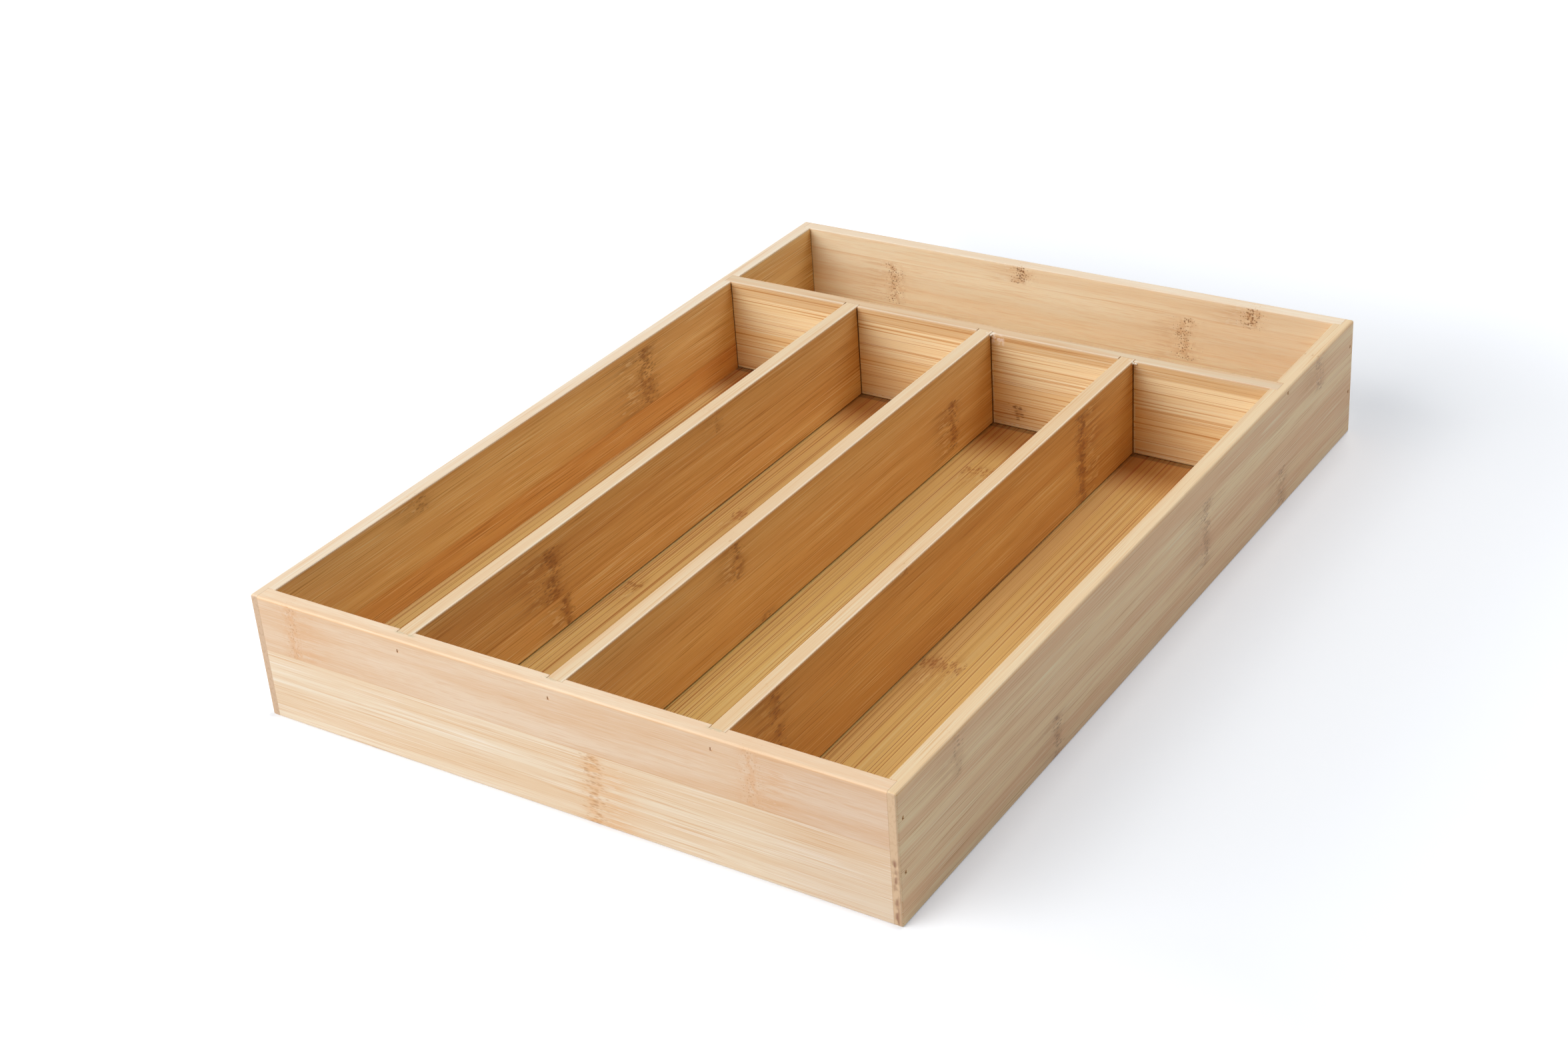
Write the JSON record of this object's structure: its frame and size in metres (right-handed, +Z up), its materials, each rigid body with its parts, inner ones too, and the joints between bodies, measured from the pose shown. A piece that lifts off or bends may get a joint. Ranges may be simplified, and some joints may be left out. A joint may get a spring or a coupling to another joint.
{
  "type": "cutlery tray",
  "caption": "Open-topped bamboo cutlery tray: long compartments in front of a compartment across the back, with rebated corners, housed dividers and a grooved-in bottom panel.",
  "frame": {"origin": "middle of the tray's underside, on the surface that it stands on", "axes": "+X to the right across the long compartments, +Y to the back along them, +Z up"},
  "size_m": [0.25, 0.35, 0.048],
  "materials": {
    "rail_bamboo": "satin clear lacquer",
    "divider_bamboo": "satin clear lacquer",
    "panel_bamboo": "satin clear lacquer",
    "brad_steel": "dull, stained"
  },
  "bodies": {
    "root": {"left_rail": "rail_bamboo", "right_rail": "rail_bamboo", "front_rail": "rail_bamboo", "back_rail": "rail_bamboo", "cross_divider": "divider_bamboo", "left_divider": "divider_bamboo", "centre_divider": "divider_bamboo", "right_divider": "divider_bamboo", "bottom_panel": "panel_bamboo", "front_corner_brads": "brad_steel", "back_corner_brads": "brad_steel", "cross_divider_brads": "brad_steel", "divider_front_brads": "brad_steel", "divider_rear_brads": "brad_steel"}
  },
  "joints": []
}
